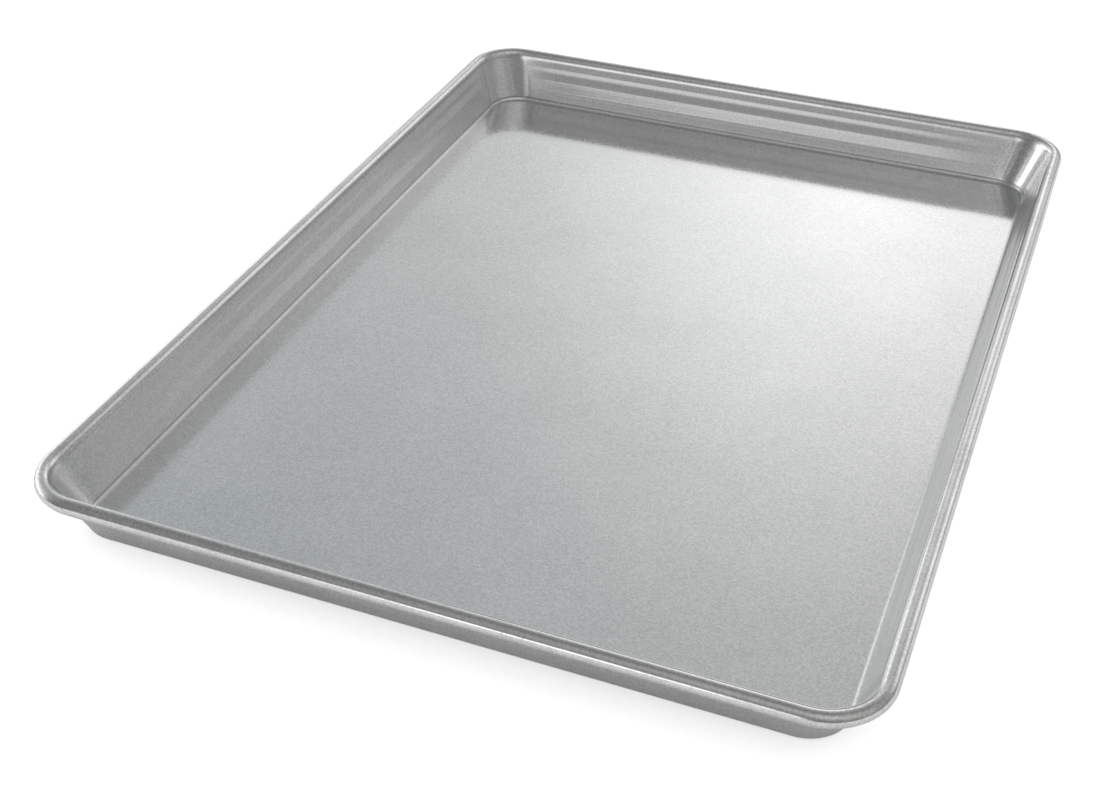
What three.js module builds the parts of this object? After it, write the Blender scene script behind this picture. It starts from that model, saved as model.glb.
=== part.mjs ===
// A half-size sheet pan: one drawn sheet of coated steel with leaning walls and rounded corners.
// Its rim is rolled outward round a loop of stiffening wire.
// Millimetres, +Z up, long side along Y, resting on Z = 0 with its middle over the origin.
import * as THREE from "three";

// Over the outside of the rolled rim
const LENGTH = 457;
const WIDTH = 334;
const HEIGHT = 27;

// Sheet, rolled rim and wire
const SHEET_THICKNESS = 0.8;
const RIM_DIAMETER = 6.7;
const WIRE_CLEARANCE = 0.3;
const LIP_CLEARANCE = 0.3;
const WIRE_END_GAP = 1;

// Walls and corners: the lean is from upright, the bend is on the inside of the sheet
const WALL_LEAN = THREE.MathUtils.degToRad(20);
const FLOOR_BEND_RADIUS = 1.5;
const RIM_CORNER_RADIUS = 26;
const FLOOR_CORNER_RADIUS = 15;

// Facets in a corner, round the rolled rim, in the bend of the floor and round the wire
const CORNER_STEPS = 8;
const RIM_STEPS = 20;
const BEND_STEPS = 5;
const WIRE_SIDES = 12;

// Every point of the sheet's section is an inset from the rim's outer edge and a height.
const rimRadius = RIM_DIAMETER / 2;
const rimInset = rimRadius;
const rimHeight = HEIGHT - rimRadius;
const wireRadius = rimRadius - SHEET_THICKNESS - WIRE_CLEARANCE;

// The wall's line touches the rolled rim and the bend of the floor.
const neckHeight = rimHeight + rimRadius * Math.sin(WALL_LEAN);
const bendHeight = SHEET_THICKNESS + FLOOR_BEND_RADIUS;
const bendReach = rimRadius + FLOOR_BEND_RADIUS + (rimHeight - bendHeight) * Math.sin(WALL_LEAN);
const bendInset = rimInset + bendReach / Math.cos(WALL_LEAN);
const floorExtraRadius = FLOOR_CORNER_RADIUS - (RIM_CORNER_RADIUS - bendInset);

// The roll ends where its lip comes up under the wall.
const lipReach = (rimRadius - SHEET_THICKNESS - LIP_CLEARANCE) / rimRadius;
const lipAngle = WALL_LEAN + 2 * Math.PI - Math.acos(lipReach);

function arc(inset, height, radius, from, to, steps) {
  return Array.from({ length: steps + 1 }, (_, step) => {
    const angle = THREE.MathUtils.lerp(from, to, step / steps);
    return { inset: inset + radius * Math.cos(angle), height: height + radius * Math.sin(angle) };
  });
}

// The pan's face that lies inward by an offset: 0 for the food side, the sheet's thickness for the underside
function sheetFace(offset) {
  const bend = arc(
    bendInset,
    bendHeight,
    FLOOR_BEND_RADIUS + offset,
    1.5 * Math.PI,
    Math.PI + WALL_LEAN,
    BEND_STEPS,
  );
  const roll = arc(rimInset, rimHeight, rimRadius - offset, WALL_LEAN, lipAngle, RIM_STEPS);
  return [...bend, ...roll];
}

// Corners are concentric round the rim, and open out evenly down the wall to the floor's own radius.
function cornerRadius(inset, height) {
  const down = THREE.MathUtils.clamp((neckHeight - height) / (neckHeight - bendHeight), 0, 1);
  return RIM_CORNER_RADIUS - inset + floorExtraRadius * down;
}

// A rectangle with rounded corners, anticlockwise from above, starting on the +X side
function roundedLoop(inset, height, radius) {
  const middleX = WIDTH / 2 - inset - radius;
  const middleY = LENGTH / 2 - inset - radius;
  const loop = [];
  for (let corner = 0; corner < 4; corner += 1) {
    const sideX = corner === 0 || corner === 3 ? 1 : -1;
    const sideY = corner < 2 ? 1 : -1;
    for (let step = 0; step <= CORNER_STEPS; step += 1) {
      const angle = (corner + step / CORNER_STEPS) * (Math.PI / 2);
      const x = sideX * middleX + radius * Math.cos(angle);
      const y = sideY * middleY + radius * Math.sin(angle);
      loop.push(new THREE.Vector3(x, y, height));
    }
  }
  return loop;
}

// A closed body over a row of loops, each end closed by a fan round its middle
function bodyOver(loops) {
  const count = loops[0].length;
  const points = loops.flat();
  const faces = [];
  for (let row = 0; row + 1 < loops.length; row += 1) {
    for (let step = 0; step < count; step += 1) {
      const here = row * count + step;
      const next = row * count + ((step + 1) % count);
      faces.push(here, next, next + count, here, next + count, here + count);
    }
  }
  [0, loops.length - 1].forEach((row) => {
    const middle = points.length;
    const sum = loops[row].reduce((total, point) => total.add(point), new THREE.Vector3());
    points.push(sum.divideScalar(count));
    for (let step = 0; step < count; step += 1) {
      const here = row * count + step;
      const next = row * count + ((step + 1) % count);
      faces.push(middle, ...(row === 0 ? [next, here] : [here, next]));
    }
  });
  const geometry = new THREE.BufferGeometry().setFromPoints(points);
  geometry.setIndex(faces);
  geometry.computeVertexNormals();
  return geometry;
}

// The sheet: up its underside, round the inside of the roll, and back over the food side to the floor
function panBody() {
  const section = [...sheetFace(SHEET_THICKNESS), ...sheetFace(0).reverse()];
  return bodyOver(
    section.map(({ inset, height }) => roundedLoop(inset, height, cornerRadius(inset, height))),
  );
}

// The wire: the same loop as the rim, open by a small gap in the middle of one long side
function rimWire() {
  const strands = arc(rimInset, rimHeight, wireRadius, 0, 2 * Math.PI, WIRE_SIDES)
    .slice(0, WIRE_SIDES)
    .map(({ inset, height }) => {
      const side = WIDTH / 2 - inset;
      const start = new THREE.Vector3(side, WIRE_END_GAP / 2, height);
      const end = new THREE.Vector3(side, -WIRE_END_GAP / 2, height);
      return [start, ...roundedLoop(inset, height, RIM_CORNER_RADIUS - inset), end];
    });
  const sections = strands[0].map((_, step) => strands.map((strand) => strand[step]));
  return bodyOver(sections);
}

function piece(name, geometry, finish) {
  const mesh = new THREE.Mesh(geometry, new THREE.MeshStandardMaterial(finish));
  mesh.name = name;
  return mesh;
}

const pan = new THREE.Group();
pan.name = "sheet_pan";
pan.add(
  piece("pan_body", panBody(), { color: 0xb4b5b3, roughness: 0.34, metalness: 1 }),
  piece("rim_wire", rimWire(), { color: 0x7d7f80, roughness: 0.45, metalness: 1 }),
);

export default pan;
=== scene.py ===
# %% [markdown]
# # A half-size sheet pan
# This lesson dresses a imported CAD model: the frame gives every size and place, and Blender gives the
# looks. The pan is one drawn sheet of aluminised steel whose rim is rolled round a wire. Nothing on it
# moves. Everything is in metres, with the long side along Y and the pan standing on Z = 0.

# %% Load the frame
import math

import bpy
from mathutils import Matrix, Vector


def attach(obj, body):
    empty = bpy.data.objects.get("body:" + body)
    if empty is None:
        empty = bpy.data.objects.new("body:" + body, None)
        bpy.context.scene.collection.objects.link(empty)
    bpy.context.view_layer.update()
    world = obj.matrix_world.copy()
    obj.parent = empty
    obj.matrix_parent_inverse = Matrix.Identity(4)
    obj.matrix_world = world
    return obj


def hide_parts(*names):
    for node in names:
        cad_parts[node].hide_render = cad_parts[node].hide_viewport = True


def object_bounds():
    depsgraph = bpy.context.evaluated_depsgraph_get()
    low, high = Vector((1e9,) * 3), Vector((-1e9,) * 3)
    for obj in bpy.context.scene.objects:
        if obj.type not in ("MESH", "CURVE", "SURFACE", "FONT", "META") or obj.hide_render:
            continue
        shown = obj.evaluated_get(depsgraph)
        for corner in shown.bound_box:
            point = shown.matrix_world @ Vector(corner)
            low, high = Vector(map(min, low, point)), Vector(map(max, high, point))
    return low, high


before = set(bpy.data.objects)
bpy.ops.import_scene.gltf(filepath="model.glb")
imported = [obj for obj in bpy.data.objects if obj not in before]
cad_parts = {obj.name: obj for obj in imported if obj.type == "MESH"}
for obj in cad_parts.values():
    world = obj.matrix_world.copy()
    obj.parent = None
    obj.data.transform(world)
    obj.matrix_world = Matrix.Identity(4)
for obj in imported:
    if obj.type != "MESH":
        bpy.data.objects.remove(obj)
cad_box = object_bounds()
print("frame nodes:", sorted(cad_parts))

# %% [markdown]
# ## Sizes
# The maker of such a pan sets the size over the rim, and then the roll, the lean of the walls and the
# corners. The pan's width, length and height come from the solids, so the dressed pan fills the same
# space. The rest are written in millimetres and turned into metres once. The lean is measured from
# upright.

# %% Sizes
MM = 0.001
WIDTH, LENGTH, HEIGHT = cad_box[1] - cad_box[0]
SHEET = 0.8 * MM
ROLL_RADIUS = 3.35 * MM
LIP_GAP = 0.3 * MM
WALL_LEAN = math.radians(20)
BEND_RADIUS = 1.5 * MM
RIM_CORNER = 26 * MM
FLOOR_CORNER = 15 * MM

roll_height = HEIGHT - ROLL_RADIUS
neck_height = roll_height + ROLL_RADIUS * math.sin(WALL_LEAN)
bend_height = SHEET + BEND_RADIUS
bend_reach = ROLL_RADIUS + BEND_RADIUS + (roll_height - bend_height) * math.sin(WALL_LEAN)
bend_inset = ROLL_RADIUS + bend_reach / math.cos(WALL_LEAN)
print(f"the floor starts to bend {bend_inset / MM:.1f} mm in from the rim")

# %% [markdown]
# ## Small helpers for node trees
# Geometry and shader trees are both built from the script. One helper adds a node, sets its options, and
# joins or sets its inputs: a socket is linked, and a plain number, vector or colour becomes the input's
# own value.

# %% Node helper
def add_node(tree, kind, inputs=None, **options):
    node = tree.nodes.new(kind)
    for option, value in options.items():
        setattr(node, option, value)
    for key, value in (inputs or {}).items():
        if isinstance(value, bpy.types.NodeSocket):
            tree.links.new(value, node.inputs[key])
        else:
            node.inputs[key].default_value = value
    return node


print("node helper ready")

# %% [markdown]
# ## Short names for common nodes
# Sums, vectors, noise and mixes come up again and again, so each gets a short name. A reader can then
# follow a tree as if it were plain arithmetic.

# %% Short names
def math_node(tree, operation, *values, clamp=False):
    inputs = dict(enumerate(values))
    return add_node(tree, "ShaderNodeMath", inputs, operation=operation, use_clamp=clamp).outputs[0]


def vector_node(tree, operation, *values):
    inputs = dict(enumerate(values))
    if operation == "SCALE":
        inputs = {0: values[0], "Scale": values[1]}
    return add_node(tree, "ShaderNodeVectorMath", inputs, operation=operation).outputs[0]


def dot_product(tree, first, second):
    inputs = {0: first, 1: second}
    return add_node(tree, "ShaderNodeVectorMath", inputs, operation="DOT_PRODUCT").outputs["Value"]


def split(tree, vector):
    return add_node(tree, "ShaderNodeSeparateXYZ", {0: vector}).outputs


def join(tree, **axes):
    return add_node(tree, "ShaderNodeCombineXYZ", axes).outputs[0]


def smooth_step(tree, value, low, high):
    inputs = {"Value": value, "From Min": low, "From Max": high}
    return add_node(tree, "ShaderNodeMapRange", inputs, interpolation_type="SMOOTHSTEP").outputs[0]


def noise(tree, place, scale, detail, roughness=0.5, **options):
    inputs = {"Vector": place, "Scale": scale, "Detail": detail, "Roughness": roughness}
    return add_node(tree, "ShaderNodeTexNoise", inputs, **options).outputs[0]


def mix_colours(tree, share, first, second):
    inputs = {"Factor": share, 6: first, 7: second}
    return add_node(tree, "ShaderNodeMix", inputs, data_type="RGBA").outputs[2]


print("short names ready")

# %% [markdown]
# ## New trees
# A tree's inputs are named, so that its sizes can be read and changed in Blender as well as here.

# %% Tree helper
def new_tree(name, kind, inputs, outputs):
    tree = bpy.data.node_groups.new(name, kind)
    for label, socket_type, value in inputs:
        socket = tree.interface.new_socket(label, in_out="INPUT", socket_type=socket_type)
        if value is not None:
            socket.default_value = value
    for label, socket_type in outputs:
        tree.interface.new_socket(label, in_out="OUTPUT", socket_type=socket_type)
    start = tree.nodes.new("NodeGroupInput")
    end = tree.nodes.new("NodeGroupOutput")
    return tree, start.outputs, end.inputs


print("tree helper ready")

# %% [markdown]
# ## What the press leaves in the walls
# A drawn wall isn't flat. The press leaves two soft ridges along each straight side, and the die drags
# faint lines round the wall. On the food side the bead swells a little above the wall, and a thin crease
# marks the wall's foot. All of it is well under a millimetre, but a mirror shows it plainly, so it is
# shape here and not a painted line, though the crease is also coloured darker. The named values are in
# millimetres. Each function takes a height in metres and gives how far the sheet is pushed inward, also
# in metres.

# %% Wall relief
RIDGE_TURNS = [(1.8, 0), (8, -0.28), (13.4, 0.32), (17.7, -0.03), (19.8, 0.17), (23.4, 0), (30, 0)]
RIDGE_SOFTENING = 0.09
RIDGE_SHIFTS = range(-4, 5)


def wall_relief(height):
    """The pressed ridges: straight runs between the turns, softened by an average over small shifts."""
    total = 0
    for shift in RIDGE_SHIFTS:
        z = height / MM + RIDGE_SOFTENING * shift
        for (z0, r0), (z1, r1) in zip(RIDGE_TURNS, RIDGE_TURNS[1:]):
            if z0 <= z < z1:
                total += r0 + (r1 - r0) * (z - z0) / (z1 - z0)
    return total / len(RIDGE_SHIFTS) * MM


depths = [depth for level, depth in RIDGE_TURNS]
print(f"ridges: {max(depths) - min(depths):.2f} mm from hollow to crest")

# %% [markdown]
# ## Fine lines, crease and swell
# Three waves of different lengths never meet in step, so their sum looks like lines from a worn die. The
# crease and the swell are each one smooth hill over the height.

# %% Lines and seams
DIE_LINE_DEPTH = 0.006
DIE_LINE_WAVES = [(2.9, 1, 0), (4.7, 0.8, 1), (1.7, 0.6, 2)]
DIE_LINES_FROM, DIE_LINES_TO, DIE_LINES_FADE = 3, 23.5, 3
BEAD_SWELL, BEAD_SWELL_LEVEL, BEAD_SWELL_WIDTH = 0.08, 24.4, 1.2
CREASE_DEPTH, CREASE_LEVEL, CREASE_WIDTH = 0.14, 2.1, 0.45
# Where along the wall's foot, and how wide, the sheet is coloured a darker grey, in millimetres.
CREASE_DARK_LEVEL, CREASE_DARK_WIDTH = 2.3, 0.4


def die_lines(height):
    z = height / MM
    lines = sum(size * math.sin(rate * z + start) for rate, size, start in DIE_LINE_WAVES)
    foot = min(max((z - DIE_LINES_FROM) / DIE_LINES_FADE, 0), 1)
    head = min(max((DIE_LINES_TO - z) / DIE_LINES_FADE, 0), 1)
    return DIE_LINE_DEPTH * lines * (foot * head) * MM


def hill(value, middle, width):
    return math.exp(-(((value - middle) / width) ** 2))


def seams(height):
    z = height / MM
    swell = BEAD_SWELL * hill(z, BEAD_SWELL_LEVEL, BEAD_SWELL_WIDTH)
    return (swell - CREASE_DEPTH * hill(z, CREASE_LEVEL, CREASE_WIDTH)) * MM


def crease(height):
    """How dark the crease at the wall's foot is, from 0 to 1."""
    return hill(height / MM, CREASE_DARK_LEVEL, CREASE_DARK_WIDTH)


print(f"the crease is {CREASE_DEPTH} mm deep, the bead swells by {BEAD_SWELL} mm")

# %% [markdown]
# ## The sheet's section
# Cut across a wall and the sheet is a line: floor, bend, leaning wall, and a roll that ends in a lip
# under the rim. We could draw it as a curve by hand, but arcs and straight runs tied to the sizes keep it
# true to the solids. Each point holds an inset from the rim's outer edge, a height, and a share of the
# way in to the floor's middle. Rows lie closer together near the foot and the neck of the wall, where the
# crease and the swell need them.

# %% Section points
BEND_ROWS = 12
WALL_ROWS = 72
ROLL_ROWS = 44
ROW_CROWDING = 0.09
FLOOR_SHARES = [0.006, 0.02, 0.05, 0.1, 0.2, 0.35, 0.5, 0.65, 0.8, 0.92, 1]


def arc_points(inset, height, radius, start, end, steps):
    angles = [start + (end - start) * step / steps for step in range(steps + 1)]
    return [(inset + radius * math.cos(a), height + radius * math.sin(a)) for a in angles]


def sheet_face(offset):
    """One face from the floor's edge to the lip; the offset is 0 inside the pan, the sheet outside it."""
    lip = WALL_LEAN + 2 * math.pi - math.acos((ROLL_RADIUS - SHEET - LIP_GAP) / ROLL_RADIUS)
    bend_ends = 1.5 * math.pi, math.pi + WALL_LEAN
    bend = arc_points(bend_inset, bend_height, BEND_RADIUS + offset, *bend_ends, BEND_ROWS)
    roll = arc_points(ROLL_RADIUS, roll_height, ROLL_RADIUS - offset, WALL_LEAN, lip, ROLL_ROWS)
    (low_inset, low), (high_inset, high) = bend[-1], roll[0]
    even = [step / WALL_ROWS for step in range(1, WALL_ROWS)]
    rise = [t - ROW_CROWDING * math.sin(2 * math.pi * t) for t in even]
    wall = [(low_inset + (high_inset - low_inset) * t, low + (high - low) * t) for t in rise]
    return bend + wall + roll


section = [(bend_inset, 0.0, share) for share in reversed(FLOOR_SHARES)]
section += [(inset, height, 0.0) for inset, height in sheet_face(SHEET)]
section += [(inset, height, 0.0) for inset, height in reversed(sheet_face(0.0))]
section += [(bend_inset, SHEET, share) for share in FLOOR_SHARES]
section_mesh = bpy.data.meshes.new("pan_section")
section_mesh.from_pydata(section, [], [])
print(len(section), "points across the sheet")

# %% [markdown]
# ## Values along the section
# The sweep reads the relief from the section's points, so each is stored there as an attribute of its
# own. "drawn" marks the bend, wall and roll, which the press has worked. The floor is left as it was
# rolled.

# %% Section attributes
drawn_rows = [share == 0 for inset, height, share in section]
wall_rows = [inset > ROLL_RADIUS and share == 0 for inset, height, share in section]
food_rows = [wall and row >= len(section) // 2 for row, wall in enumerate(wall_rows)]
for name, shape, where in (
    ("relief", wall_relief, wall_rows),
    ("lines", die_lines, wall_rows),
    ("seams", seams, food_rows),
    ("crease", crease, food_rows),
    ("drawn", lambda height: 1.0, drawn_rows),
):
    values = [shape(point[1]) * here for point, here in zip(section, where)]
    section_mesh.attributes.new(name, "FLOAT", "POINT").data.foreach_set("value", values)
print(sum(wall_rows), "rows on the wall,", sum(food_rows), "of them on the food side")

# %% [markdown]
# ## Sweeping the section round the pan
# Lofting by hand, or a plain sweep along the rim, would shrink the corners at the floor to almost
# nothing. Here a flat grid is bent into the pan instead: its columns run round the rim and its rows run
# along the section. A column knows the corner it belongs to and the way it faces, so any ring of the pan
# is corner * (half size - radius) + radius * way. Along a side the corner slides over into the next one.

# %% Grid and ring
def flat_grid(tree, section_socket, steps):
    counts = add_node(tree, "GeometryNodeAttributeDomainSize", {0: section_socket}, component="MESH")
    rows = counts.outputs["Point Count"]
    last_row = math_node(tree, "SUBTRACT", rows, 1.0)
    columns = math_node(tree, "ADD", steps, 1.0)
    sizes = {"Size X": steps, "Size Y": last_row, "Vertices X": columns, "Vertices Y": rows}
    grid = add_node(tree, "GeometryNodeMeshGrid", sizes).outputs["Mesh"]
    flat = split(tree, add_node(tree, "GeometryNodeInputPosition").outputs[0])
    column = math_node(tree, "ADD", flat["X"], math_node(tree, "MULTIPLY", steps, 0.5))
    row = math_node(tree, "ADD", flat["Y"], math_node(tree, "MULTIPLY", last_row, 0.5))
    return grid, math_node(tree, "ROUND", column), math_node(tree, "ROUND", row)


def ring_direction(tree, column, corner_steps, side_steps):
    quarter = math_node(tree, "ADD", corner_steps, side_steps)
    corner = math_node(tree, "FLOOR", math_node(tree, "DIVIDE", column, quarter))
    place = math_node(tree, "SUBTRACT", column, math_node(tree, "MULTIPLY", corner, quarter))
    turn = math_node(tree, "DIVIDE", place, corner_steps, clamp=True)
    run = math_node(tree, "SUBTRACT", place, corner_steps)
    run = smooth_step(tree, math_node(tree, "DIVIDE", run, side_steps, clamp=True), 0.0, 1.0)
    turned = []
    for start, quarters in (
        ((1, 0, 0), math_node(tree, "ADD", corner, turn)),
        ((1, 1, 0), corner),
        ((1, 1, 0), math_node(tree, "ADD", corner, 1.0)),
    ):
        inputs = {"Vector": start, "Angle": math_node(tree, "MULTIPLY", quarters, math.pi / 2)}
        turned.append(add_node(tree, "ShaderNodeVectorRotate", inputs, rotation_type="Z_AXIS").outputs[0])
    way, here, after = turned
    inputs = {"Factor": run, 4: here, 5: after}
    between = add_node(tree, "ShaderNodeMix", inputs, data_type="VECTOR").outputs[1]
    return way, between


print("ring helpers ready")

# %% [markdown]
# ## Reading the section, and what changes along a side
# Every point of the grid looks up its row in the section. The pressed ridges fade out before each corner,
# early on the right side and late on the left. The drawn corners get fine upright ripples, where the
# sheet was squeezed. Noise makes the ripples, counted in columns and back to the first one, so that they
# meet where the ring closes.

# %% Side and corner helpers
LINES_FADE = 40 * MM
CORNER_EDGE = 10 * MM
RIPPLE_FOOT = 2.5 * MM, 7 * MM
RIPPLE_HEAD = 20 * MM, 23.5 * MM
RIPPLE_STRETCH = 25.0
RIPPLE_SCALE = 0.33


def at_row(tree, section_socket, row, value, data_type):
    inputs = {"Geometry": section_socket, "Value": value, "Index": row}
    return add_node(tree, "GeometryNodeSampleIndex", inputs, data_type=data_type).outputs[0]


def section_value(tree, section_socket, row, name):
    stored = add_node(tree, "GeometryNodeInputNamedAttribute", {"Name": name}, data_type="FLOAT")
    return at_row(tree, section_socket, row, stored.outputs[0], "FLOAT")


def side_fades(tree, given, between):
    """How much of the ridges and of the lines a place on a side has, and how much of a corner it is."""
    to_corner = vector_node(tree, "SUBTRACT", (1, 1, 1), vector_node(tree, "ABSOLUTE", between))
    reach = dot_product(tree, to_corner, given["Half Size"])
    on_right = math_node(tree, "GREATER_THAN", split(tree, between)["X"], 0.0)
    inputs = {"Value": on_right, "To Min": given["Left Fade"], "To Max": given["Right Fade"]}
    fade = add_node(tree, "ShaderNodeMapRange", inputs).outputs[0]
    ridges = smooth_step(tree, reach, 0.0, fade)
    lines = smooth_step(tree, reach, 0.0, LINES_FADE)
    corner = math_node(tree, "SUBTRACT", 1.0, smooth_step(tree, reach, 0.0, CORNER_EDGE))
    return ridges, lines, corner


def corner_ripple(tree, given, column, steps, height, corner):
    around = math_node(tree, "MODULO", column, steps)
    place = join(tree, X=around, Y=math_node(tree, "MULTIPLY", height, RIPPLE_STRETCH))
    wave = noise(tree, place, RIPPLE_SCALE, detail=2.0, roughness=0.6, noise_dimensions="2D")
    ripple = math_node(tree, "MULTIPLY", math_node(tree, "SUBTRACT", wave, 0.5), given["Ripple"])
    head = math_node(tree, "SUBTRACT", 1.0, smooth_step(tree, height, *RIPPLE_HEAD))
    between_ends = math_node(tree, "MULTIPLY", smooth_step(tree, height, *RIPPLE_FOOT), head)
    return math_node(tree, "MULTIPLY", math_node(tree, "MULTIPLY", ripple, between_ends), corner)


print(f"ripples run from {RIPPLE_FOOT[0] / MM} to {RIPPLE_HEAD[1] / MM} mm up the corners")

# %% [markdown]
# ## From a tree to a plain mesh
# Each tree ends in smooth shading, whole geometry and a material. A live modifier would be the usual way
# to use it, but the frame needs finished meshes. So the tree runs once on a carrier object, its result
# becomes a mesh, and both the modifier and the carrier go. Inputs are set by socket identifier before the
# first evaluation.

# %% Mesh helpers
def finished(tree, geometry, material, result):
    inputs = {"Geometry": geometry, "Shade Smooth": True}
    smooth = add_node(tree, "GeometryNodeSetShadeSmooth", inputs).outputs[0]
    whole = add_node(tree, "GeometryNodeRealizeInstances", {"Geometry": smooth}).outputs[0]
    inputs = {"Geometry": whole, "Material": material}
    dressed = add_node(tree, "GeometryNodeSetMaterial", inputs).outputs[0]
    tree.links.new(dressed, result)


def grown(name, carrier_data, tree, values):
    carrier = bpy.data.objects.new(name + "_carrier", carrier_data)
    bpy.context.scene.collection.objects.link(carrier)
    modifier = carrier.modifiers.new("shape", "NODES")
    modifier.node_group = tree
    for item in tree.interface.items_tree:
        if item.in_out == "INPUT" and item.name in values:
            modifier[item.identifier] = values[item.name]
    graph = bpy.context.evaluated_depsgraph_get()
    mesh = bpy.data.meshes.new_from_object(carrier.evaluated_get(graph))
    mesh.name = name
    bpy.data.objects.remove(carrier)
    piece = bpy.data.objects.new(name, mesh)
    bpy.context.scene.collection.objects.link(piece)
    print(f"{name}: {len(mesh.vertices)} vertices, {len(mesh.polygons)} faces")
    return piece


print("mesh helpers ready")

# %% [markdown]
# ## A point's place
# On its ring a point lies in from the rim by its inset and relief. On the floor the ring shrinks to the
# middle by the point's share, and a small crown lifts it on the way.

# %% Ring place
def ring_place(tree, given, way, between, inward, radius, share, height):
    edge = math_node(tree, "ADD", inward, radius)
    edge = vector_node(tree, "SUBTRACT", given["Half Size"], join(tree, X=edge, Y=edge))
    ring = vector_node(tree, "MULTIPLY", between, edge)
    ring = vector_node(tree, "ADD", ring, vector_node(tree, "SCALE", way, radius))
    ring = vector_node(tree, "SCALE", ring, math_node(tree, "SUBTRACT", 1.0, share))
    crown = math_node(tree, "MULTIPLY", share, math_node(tree, "SUBTRACT", 2.0, share))
    lift = math_node(tree, "MULTIPLY_ADD", given["Crown"], crown, height)
    flat = split(tree, ring)
    return join(tree, X=flat["X"], Y=flat["Y"], Z=lift)


print("place helper ready")

# %% [markdown]
# ## The whole pan as one tree
# With those in hand the tree is short: read the section, push it inward by the relief, and put every
# point of the grid in its place on its ring. Merging closes the last column on the first and the floor on
# its middle. Three values stay on the mesh for the material: corner, crease and drawn.

# %% Pan tree
PAN_INPUTS = [
    ("Section", "NodeSocketGeometry", None),
    ("Half Size", "NodeSocketVector", None),
    ("Rim Corner", "NodeSocketFloat", RIM_CORNER),
    ("Floor Corner Extra", "NodeSocketFloat", 0.0),
    ("Neck Height", "NodeSocketFloat", neck_height),
    ("Bend Height", "NodeSocketFloat", bend_height),
    ("Crown", "NodeSocketFloat", 0.0),
    ("Ripple", "NodeSocketFloat", 0.0),
    ("Left Fade", "NodeSocketFloat", CORNER_EDGE),
    ("Right Fade", "NodeSocketFloat", CORNER_EDGE),
    ("Corner Steps", "NodeSocketInt", 8),
    ("Side Steps", "NodeSocketInt", 8),
    ("Material", "NodeSocketMaterial", None),
]
MERGE_DISTANCE = 1e-6


def pan_tree():
    outputs = [("Pan", "NodeSocketGeometry")]
    tree, given, result = new_tree("sheet_pan_sweep", "GeometryNodeTree", PAN_INPUTS, outputs)
    section_socket, corner_steps, side_steps = given["Section"], given["Corner Steps"], given["Side Steps"]
    steps = math_node(tree, "MULTIPLY", math_node(tree, "ADD", corner_steps, side_steps), 4.0)
    grid, column, row = flat_grid(tree, section_socket, steps)
    position = add_node(tree, "GeometryNodeInputPosition").outputs[0]
    point = split(tree, at_row(tree, section_socket, row, position, "FLOAT_VECTOR"))
    inset, height, share = point["X"], point["Y"], point["Z"]
    relief, lines, seam, dark_line, worked = [
        section_value(tree, section_socket, row, name)
        for name in ("relief", "lines", "seams", "crease", "drawn")
    ]
    way, between = ring_direction(tree, column, corner_steps, side_steps)
    ridges, lines_left, corner = side_fades(tree, given, between)

    wall_height = math_node(tree, "SUBTRACT", given["Neck Height"], given["Bend Height"])
    down = math_node(tree, "SUBTRACT", given["Neck Height"], height)
    down = math_node(tree, "DIVIDE", down, wall_height, clamp=True)
    radius = math_node(tree, "SUBTRACT", given["Rim Corner"], inset)
    radius = math_node(tree, "MULTIPLY_ADD", given["Floor Corner Extra"], down, radius)
    inward = math_node(tree, "MULTIPLY_ADD", relief, ridges, inset)
    inward = math_node(tree, "MULTIPLY_ADD", lines, lines_left, inward)
    inward = math_node(tree, "ADD", inward, seam)
    ripple = corner_ripple(tree, given, column, steps, height, corner)
    inward = math_node(tree, "ADD", inward, ripple)
    place = ring_place(tree, given, way, between, inward, radius, share, height)

    marked = grid
    for name, value in (("corner", corner), ("crease", dark_line), ("drawn", worked)):
        inputs = {"Geometry": marked, "Name": name, "Value": value}
        kind = "GeometryNodeStoreNamedAttribute"
        marked = add_node(tree, kind, inputs, data_type="FLOAT", domain="POINT").outputs[0]
    bent = add_node(tree, "GeometryNodeSetPosition", {"Geometry": marked, "Position": place}).outputs[0]
    inputs = {"Geometry": bent, "Distance": MERGE_DISTANCE}
    closed = add_node(tree, "GeometryNodeMergeByDistance", inputs).outputs[0]
    finished(tree, closed, given["Material"], result["Pan"])
    return tree


pan_nodes = pan_tree()
print(len(pan_nodes.nodes), "nodes bend a grid into the pan")

# %% [markdown]
# ## Metal grain
# The coating of aluminised steel sets in crystals, each with its own tilt, which show as a fine spangle
# under a faint haze. An image of such a sheet would repeat and stretch, so noise in the piece's own space
# makes it instead. The grain is a node group because the sheet and the wire both use it, each with its
# own values.

# %% Grain group
GRAIN_SIZE = 0.0006
HAZE_SIZE = 0.05
SPANGLE_RELIEF = 0.5


def grain_group():
    tree, given, result = new_tree(
        "metal_grain",
        "ShaderNodeTree",
        [("Grain Size", "NodeSocketFloat", GRAIN_SIZE), ("Haze Size", "NodeSocketFloat", HAZE_SIZE)],
        [("Spangle", "NodeSocketFloat"), ("Haze", "NodeSocketFloat"), ("Height", "NodeSocketFloat")],
    )
    space = add_node(tree, "ShaderNodeTexCoord").outputs["Object"]
    fine = math_node(tree, "DIVIDE", 1.0, given["Grain Size"])
    broad = math_node(tree, "DIVIDE", 1.0, given["Haze Size"])
    crystals = add_node(tree, "ShaderNodeTexVoronoi", {"Vector": space, "Scale": fine, "Randomness": 1.0})
    spangle = add_node(tree, "ShaderNodeSeparateColor", {0: crystals.outputs["Color"]}).outputs[0]
    speck = noise(tree, space, fine, detail=3.0, roughness=0.7)
    haze = noise(tree, space, broad, detail=4.0, roughness=0.55)
    tree.links.new(spangle, result["Spangle"])
    tree.links.new(haze, result["Haze"])
    tree.links.new(math_node(tree, "MULTIPLY_ADD", spangle, SPANGLE_RELIEF, speck), result["Height"])
    return tree


metal_grain = grain_group()
print("grain group:", len(metal_grain.nodes), "nodes")

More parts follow.
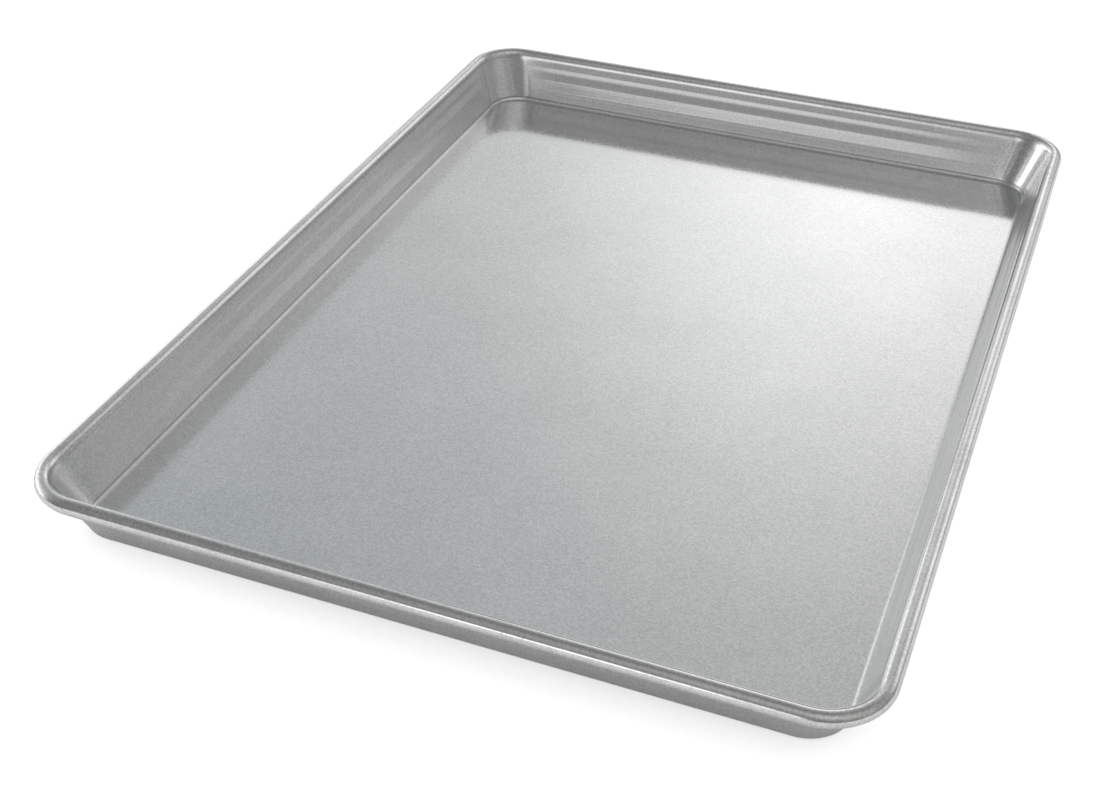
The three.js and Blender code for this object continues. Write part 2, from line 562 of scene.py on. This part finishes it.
# %% [markdown]
# ## Bare metal
# Both pieces are bare metal, so their colour is the metal's own reflection. It runs from a dark to a
# light grey by spangle and haze, and a small bump from the same grain breaks up the mirror.

# %% Metal helper
SPANGLE_SHARE = 0.6
HAZE_SHARE = 0.4
BUMP_DISTANCE = 0.00005


def metal_material(name, dark, light, grain_size):
    material = bpy.data.materials.new(name)
    material.use_nodes = True
    tree = material.node_tree
    shader = tree.nodes["Principled BSDF"]
    shader.inputs["Metallic"].default_value = 1.0
    grain = add_node(tree, "ShaderNodeGroup", node_tree=metal_grain)
    grain.inputs["Grain Size"].default_value = grain_size
    tone = math_node(tree, "MULTIPLY", grain.outputs["Spangle"], SPANGLE_SHARE)
    tone = math_node(tree, "MULTIPLY_ADD", grain.outputs["Haze"], HAZE_SHARE, tone)
    colour = mix_colours(tree, tone, (*dark, 1), (*light, 1))
    return material, tree, shader, grain.outputs, colour


def finish_metal(tree, shader, colour, rough, height, bump):
    inputs = {"Height": height, "Strength": bump, "Distance": BUMP_DISTANCE}
    normal = add_node(tree, "ShaderNodeBump", inputs).outputs[0]
    tree.links.new(colour, shader.inputs["Base Color"])
    tree.links.new(rough, shader.inputs["Roughness"])
    tree.links.new(normal, shader.inputs["Normal"])


print("metal helpers ready")

# %% [markdown]
# ## The sheet's zones
# The floor keeps the gloss of the rolled sheet, the die rubs the walls to satin, and the squeezed corners
# and the handled rim come out brighter. Each zone could be a material of its own, but the edges between
# them would be hard. So one material reads the zones: the drawn part, the corners and the crease are
# attributes from the tree, and the rim is a level above the floor. The rim is worn in patches, most of all
# at its corners, and finer noise mottles the patches. The crease is coloured a darker grey.

# %% Zones of the sheet
SHEET_DARK, SHEET_LIGHT = (0.63, 0.635, 0.64), (0.95, 0.95, 0.945)
RIM_EDGE = 22.5 * MM, 24 * MM
MOTTLE_SCALE, MOTTLE_RANGE = 800.0, (0.38, 0.66)
WEAR_SCALE, WEAR_RANGE = 35.0, (0.42, 0.7)
CORNER_WEAR = 0.12
WORN_GREY = (0.66, 0.65, 0.63, 1)
# The darker grey that colours the crease at the wall's foot, and how much of it is mixed in.
CREASE_DARK_GREY, CREASE_DARK_SHARE = (0.33, 0.33, 0.32, 1), 0.6


def stored_value(tree, name):
    return add_node(tree, "ShaderNodeAttribute", attribute_name=name).outputs["Fac"]


sheet_metal, tree, shader, grain, colour = metal_material(
    "aluminised_sheet", SHEET_DARK, SHEET_LIGHT, GRAIN_SIZE
)
place = add_node(tree, "ShaderNodeTexCoord").outputs["Object"]
corner, creased, drawn = [stored_value(tree, name) for name in ("corner", "crease", "drawn")]
on_rim = smooth_step(tree, split(tree, place)["Z"], *RIM_EDGE)
patches = noise(tree, place, WEAR_SCALE, detail=2.0)
worn = math_node(tree, "MULTIPLY_ADD", corner, CORNER_WEAR, patches)
worn = math_node(tree, "MULTIPLY", smooth_step(tree, worn, *WEAR_RANGE), on_rim)
mottle = noise(tree, place, MOTTLE_SCALE, detail=2.0, roughness=0.6)
worn = math_node(tree, "MULTIPLY", worn, smooth_step(tree, mottle, *MOTTLE_RANGE))
colour = mix_colours(tree, worn, colour, WORN_GREY)
# The crease at the wall's foot is coloured darker here.
colour = mix_colours(tree, math_node(tree, "MULTIPLY", creased, CREASE_DARK_SHARE), colour, CREASE_DARK_GREY)
print("the sheet reads its corners, crease and drawn part from the mesh")

# %% [markdown]
# ## The sheet's gloss
# Roughness starts from the floor's, where each crystal differs a little, and every zone then adds or
# takes its own. The sheet was rolled along the pan's length. The rollers leave fine grooves, which spread
# a reflection across them, so the shader is anisotropic with its tangent across the pan.

# %% Gloss of the sheet
FLOOR_GLOSS, FLOOR_SPREAD = 0.08, 0.08
WALL_SATIN, WALL_SPREAD = 0.30, 0.04
CORNER_SATIN = 0.15
RIM_SATIN = 0.13
WORN_EXTRA = 0.08
# The crease is made rougher as well as darker.
CREASE_ROUGH_EXTRA = 0.2
ROLLED = 0.67
ACROSS = {"X": 1.0, "Y": 0.02, "Z": 0.02}
SHEET_BUMP = 0.07

spread = math_node(tree, "MULTIPLY_ADD", drawn, WALL_SPREAD - FLOOR_SPREAD, FLOOR_SPREAD)
rough = math_node(tree, "MULTIPLY_ADD", grain["Spangle"], spread, FLOOR_GLOSS)
rough = math_node(tree, "MULTIPLY_ADD", drawn, WALL_SATIN - FLOOR_GLOSS, rough)
burnished = math_node(tree, "MULTIPLY", corner, math_node(tree, "SUBTRACT", drawn, on_rim))
for zone, change in (
    (burnished, CORNER_SATIN - WALL_SATIN),
    (on_rim, RIM_SATIN - WALL_SATIN),
    (worn, WORN_EXTRA),
    (creased, CREASE_ROUGH_EXTRA),
):
    rough = math_node(tree, "MULTIPLY_ADD", zone, change, rough)
shader.inputs["Anisotropic"].default_value = ROLLED
tree.links.new(join(tree, **ACROSS), shader.inputs["Tangent"])
finish_metal(tree, shader, colour, rough, grain["Height"], SHEET_BUMP)
print("sheet finish:", sheet_metal.name, "with", len(tree.nodes), "nodes")

# %% [markdown]
# ## The wire's finish
# Drawn steel wire is darker than the coated sheet and evenly dull. It uses the same grain with more bump,
# and the haze makes it rougher in places.

# %% Finish of the wire
WIRE_DARK, WIRE_LIGHT = (0.38, 0.39, 0.40), (0.50, 0.50, 0.50)
WIRE_SATIN, WIRE_HAZE = 0.28, 0.2
WIRE_BUMP = 0.2

wire_metal, tree, shader, grain, colour = metal_material("drawn_wire", WIRE_DARK, WIRE_LIGHT, GRAIN_SIZE)
rough = math_node(tree, "MULTIPLY_ADD", grain["Haze"], WIRE_HAZE, WIRE_SATIN)
finish_metal(tree, shader, colour, rough, grain["Height"], WIRE_BUMP)
print("wire finish:", wire_metal.name, "with", len(tree.nodes), "nodes")

# %% [markdown]
# ## The sheet
# The pan is pressed from one sheet, so floor, walls and rolled rim are one piece. The tree gets this
# pan's sizes here. A sheet of metal is never quite flat, and a crown of less than half a millimetre keeps
# the floor's mirror from looking like glass.

# %% Pan body
FLOOR_CROWN = 0.4 * MM
CORNER_RIPPLE = 0.45 * MM
LEFT_FADE, RIGHT_FADE = 25 * MM, 90 * MM
CORNER_STEPS, SIDE_STEPS = 32, 36

pan_body = grown(
    "pan_sheet",
    section_mesh,
    pan_nodes,
    {
        "Half Size": (WIDTH / 2, LENGTH / 2, 0.0),
        "Rim Corner": RIM_CORNER,
        "Floor Corner Extra": FLOOR_CORNER - (RIM_CORNER - bend_inset),
        "Neck Height": neck_height,
        "Bend Height": bend_height,
        "Crown": FLOOR_CROWN,
        "Ripple": CORNER_RIPPLE,
        "Left Fade": LEFT_FADE,
        "Right Fade": RIGHT_FADE,
        "Corner Steps": CORNER_STEPS,
        "Side Steps": SIDE_STEPS,
        "Material": sheet_metal,
    },
)

# %% [markdown]
# ## The wire in the rim
# A loop of steel wire stiffens the roll, its ends meeting in the middle of a long side. A bevelled curve
# would do, but the wire follows a path, so a tree rounds the path's corners and sweeps a circle along it,
# with closed ends.

# %% Wire tree
WIRE_RADIUS = 2.25 * MM
WIRE_CORNER = RIM_CORNER - ROLL_RADIUS
BEND_POINTS = 16
WIRE_SIDES = 20


def wire_tree():
    tree, given, result = new_tree(
        "rim_wire_sweep",
        "GeometryNodeTree",
        [
            ("Path", "NodeSocketGeometry", None),
            ("Corner Radius", "NodeSocketFloat", WIRE_CORNER),
            ("Wire Radius", "NodeSocketFloat", WIRE_RADIUS),
            ("Material", "NodeSocketMaterial", None),
        ],
        [("Wire", "NodeSocketGeometry")],
    )
    inputs = {"Curve": given["Path"], "Count": BEND_POINTS, "Radius": given["Corner Radius"]}
    rounded = add_node(tree, "GeometryNodeFilletCurve", inputs, mode="POLY").outputs[0]
    inputs = {"Resolution": WIRE_SIDES, "Radius": given["Wire Radius"]}
    circle = add_node(tree, "GeometryNodeCurvePrimitiveCircle", inputs).outputs["Curve"]
    inputs = {"Curve": rounded, "Profile Curve": circle, "Fill Caps": True}
    swept = add_node(tree, "GeometryNodeCurveToMesh", inputs).outputs[0]
    finished(tree, swept, given["Material"], result["Wire"])
    return tree


wire_nodes = wire_tree()
print(len(wire_nodes.nodes), "nodes sweep the wire")

# %% [markdown]
# ## The wire's path
# The path runs through the middle of the roll, from one end of the wire round the pan to the other. The
# wire is thinner than the roll's inside, so it never touches the sheet.

# %% Rim wire
WIRE_END_GAP = 1 * MM

side, end = WIDTH / 2 - ROLL_RADIUS, LENGTH / 2 - ROLL_RADIUS
half_gap = WIRE_END_GAP / 2
corners = [(side, half_gap), (side, end), (-side, end), (-side, -end), (side, -end), (side, -half_gap)]
wire_path = bpy.data.curves.new("rim_wire_path", "CURVE")
wire_path.dimensions = "3D"
spline = wire_path.splines.new("POLY")
spline.points.add(len(corners) - 1)
for point, (x, y) in zip(spline.points, corners):
    point.co = (x, y, roll_height, 1)
rim_wire = grown(
    "rim_wire_loop",
    wire_path,
    wire_nodes,
    {"Corner Radius": WIRE_CORNER, "Wire Radius": WIRE_RADIUS, "Material": wire_metal},
)

# %% [markdown]
# ## Handing the pieces to the frame
# Both pieces stand for a CAD node and ride on the only body.

# %% Ride, replace
for piece, node, slot in ((pan_body, "pan_body", "coated_sheet"), (rim_wire, "rim_wire", "wire_steel")):
    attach(piece, "root")
    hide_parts(node)
print("dressed:", [piece.name for piece in (pan_body, rim_wire)])

# %% [markdown]
# ## White paper
# The pan stands on white paper, which runs on to the horizon as its background. More light would turn the
# paper white but bleach the metal too, so the camera sees the paper partly as its own white, and partly
# as lit. The metal sees it that way as well, less bright. The paper's own white is shaded where something
# stands close above it, lightly for the camera and strongly in the metal, so the pan keeps its shadow.

# %% Paper
PAPER_COLOUR, PAPER_ROUGHNESS = (0.93, 0.93, 0.93, 1), 0.9
PAPER_WHITE = 0.84
PAPER_IN_METAL = 0.40
SHADE_DISTANCE, SHADE_SAMPLES = 0.15, 8
SHADE_FOR_CAMERA, SHADE_IN_METAL = 0.25, 1.6

white_paper = bpy.data.materials.new("white_paper")
white_paper.use_nodes = True
tree = white_paper.node_tree
paper = tree.nodes["Principled BSDF"]
paper.inputs["Base Color"].default_value = PAPER_COLOUR
paper.inputs["Roughness"].default_value = PAPER_ROUGHNESS
paper.inputs["Specular IOR Level"].default_value = 0.0
ray = add_node(tree, "ShaderNodeLightPath").outputs
in_metal = math_node(tree, "MAXIMUM", ray["Is Glossy Ray"], ray["Is Transmission Ray"])
seen = math_node(tree, "MULTIPLY", in_metal, PAPER_IN_METAL)
seen = math_node(tree, "MULTIPLY_ADD", ray["Is Camera Ray"], PAPER_WHITE, seen)
inputs = {"Distance": SHADE_DISTANCE}
open_sky = add_node(tree, "ShaderNodeAmbientOcclusion", inputs, samples=SHADE_SAMPLES).outputs["AO"]
less_shade = SHADE_FOR_CAMERA - SHADE_IN_METAL
shade = math_node(tree, "MULTIPLY_ADD", ray["Is Camera Ray"], less_shade, SHADE_IN_METAL)
white = math_node(tree, "MULTIPLY", math_node(tree, "POWER", open_sky, shade), seen)
own_white = add_node(tree, "ShaderNodeEmission", {"Color": (1, 1, 1, 1), "Strength": white}).outputs[0]
both = add_node(tree, "ShaderNodeAddShader", {0: paper.outputs[0], 1: own_white}).outputs[0]
tree.links.new(both, tree.nodes["Material Output"].inputs["Surface"])
print("paper:", white_paper.name, "with", len(tree.nodes), "nodes")

# %% [markdown]
# ## The floor
# One flat face is enough for a sheet of paper. It lies a hair below the pan, so that the two never flicker
# into each other, and it reaches far enough that its edge is lost at the horizon.

# %% Floor
FLOOR_REACH = 60
FLOOR_LEVEL = -0.0001

floor_mesh = bpy.data.meshes.new("studio_floor")
quarters = ((-1, -1), (1, -1), (1, 1), (-1, 1))
floor_corners = [(x * FLOOR_REACH, y * FLOOR_REACH, FLOOR_LEVEL) for x, y in quarters]
floor_mesh.from_pydata(floor_corners, [], [(0, 1, 2, 3)])
floor = bpy.data.objects.new("studio_floor", floor_mesh)
bpy.context.scene.collection.objects.link(floor)
floor_mesh.materials.append(white_paper)
print("floor:", floor.dimensions[:])

# %% [markdown]
# ## Soft light
# Bare metal shows its surroundings, so the light here is a room and not a few lamps. Lamps would leave
# hard bright shapes in the sheet. Each light is a soft round patch of sky instead, placed by its bearing
# from straight behind the pan and its height above the floor, and it fades out over its spread.

# %% Soft patch group
def soft_patch_group():
    tree, given, result = new_tree(
        "soft_patch",
        "ShaderNodeTree",
        [
            ("Bearing", "NodeSocketFloat", 0.0),
            ("Height", "NodeSocketFloat", 0.0),
            ("Spread", "NodeSocketFloat", 0.2),
            ("Strength", "NodeSocketFloat", 1.0),
        ],
        [("Light", "NodeSocketFloat")],
    )
    way = add_node(tree, "ShaderNodeTexCoord").outputs["Generated"]
    level = math_node(tree, "COSINE", given["Height"])
    centre = join(
        tree,
        X=math_node(tree, "MULTIPLY", math_node(tree, "SINE", given["Bearing"]), level),
        Y=math_node(tree, "MULTIPLY", math_node(tree, "COSINE", given["Bearing"]), level),
        Z=math_node(tree, "SINE", given["Height"]),
    )
    width = math_node(tree, "MULTIPLY", given["Spread"], given["Spread"])
    fall = math_node(tree, "SUBTRACT", dot_product(tree, way, centre), 1.0)
    fall = math_node(tree, "DIVIDE", fall, width)
    light = math_node(tree, "MULTIPLY", math_node(tree, "EXPONENT", fall), given["Strength"])
    tree.links.new(light, result["Light"])
    return tree


soft_patch = soft_patch_group()
print("soft patch:", len(soft_patch.nodes), "nodes")

# %% [markdown]
# ## The studio
# The floor of the pan mirrors the backdrop, so its glow makes the bright far end of the floor. White
# cards stand on the left for the right wall and in front for the back wall and the bead, and soft lamps
# hang overhead. A faint cool window tints the floor's left side. Between them the room is dim. Each row
# is a bearing, a height and a spread in degrees, then a strength and a colour.

# %% Studio
WHITE = (1, 1, 1)
COOL = (0, 0.7, 1)
STUDIO_LIGHTS = {
    "backdrop glow": (-8, 24, 8.5, 0.92, WHITE),
    "left of the backdrop": (-30, 34, 16, 0.18, WHITE),
    "right of the backdrop": (30, 24, 11, 0.85, WHITE),
    "above the backdrop": (-6, 44, 13, 0.20, WHITE),
    "right card": (48, 8, 13, 0.07, WHITE),
    "left card": (-75, 8, 15, 1.27, WHITE),
    "left card, far end": (-46, 8, 12, 0.95, WHITE),
    "left card, near end": (-98, 4, 9, 1.3, WHITE),
    "left card, top": (-85, 28, 14, 0.21, WHITE),
    "front card": (-165, 2, 7, 2.1, WHITE),
    "front lamp": (-160, 36, 14, 0.10, WHITE),
    "front lamp, top": (160, 60, 16, 0.38, WHITE),
    "right side": (100, 42, 25, 0.30, WHITE),
    "window on the left": (-40, 42, 12, 0.04, COOL),
}
ROOM_LIGHT = 0.19

world = bpy.data.worlds.new("studio")
bpy.context.scene.world = world
world.use_nodes = True
tree = world.node_tree
total = (ROOM_LIGHT, ROOM_LIGHT, ROOM_LIGHT)
for label, (bearing, height, spread, strength, colour) in STUDIO_LIGHTS.items():
    patch = add_node(tree, "ShaderNodeGroup", node_tree=soft_patch, label=label)
    for name, angle in (("Bearing", bearing), ("Height", height), ("Spread", spread)):
        patch.inputs[name].default_value = math.radians(angle)
    patch.inputs["Strength"].default_value = strength
    light = vector_node(tree, "SCALE", colour, patch.outputs["Light"])
    total = vector_node(tree, "ADD", total, light)
tree.links.new(total, tree.nodes["Background"].inputs["Color"])
print("studio:", len(STUDIO_LIGHTS), "soft lights")

# %% [markdown]
# ## Camera
# The camera stands where the rim's outline in the photo puts it: in front, a little to the right, looking
# down. It could be moved by eye, but a fit to that outline gives its place, its turn and its lens together.

# %% Camera
SENSOR_WIDTH = 36
LENS = 52.77
CAMERA_PLACE = (0.19809, -0.59356, 0.40605)
CAMERA_TURN = (54.801, -0.219, 21.746)

camera_data = bpy.data.cameras.new("camera")
camera_data.sensor_width = SENSOR_WIDTH
camera_data.lens = LENS
camera = bpy.data.objects.new("camera", camera_data)
bpy.context.scene.collection.objects.link(camera)
camera.location = CAMERA_PLACE
camera.rotation_euler = [math.radians(angle) for angle in CAMERA_TURN]
bpy.context.scene.camera = camera
bpy.context.scene.view_settings.view_transform = "Standard"
print("camera at", camera.location[:])
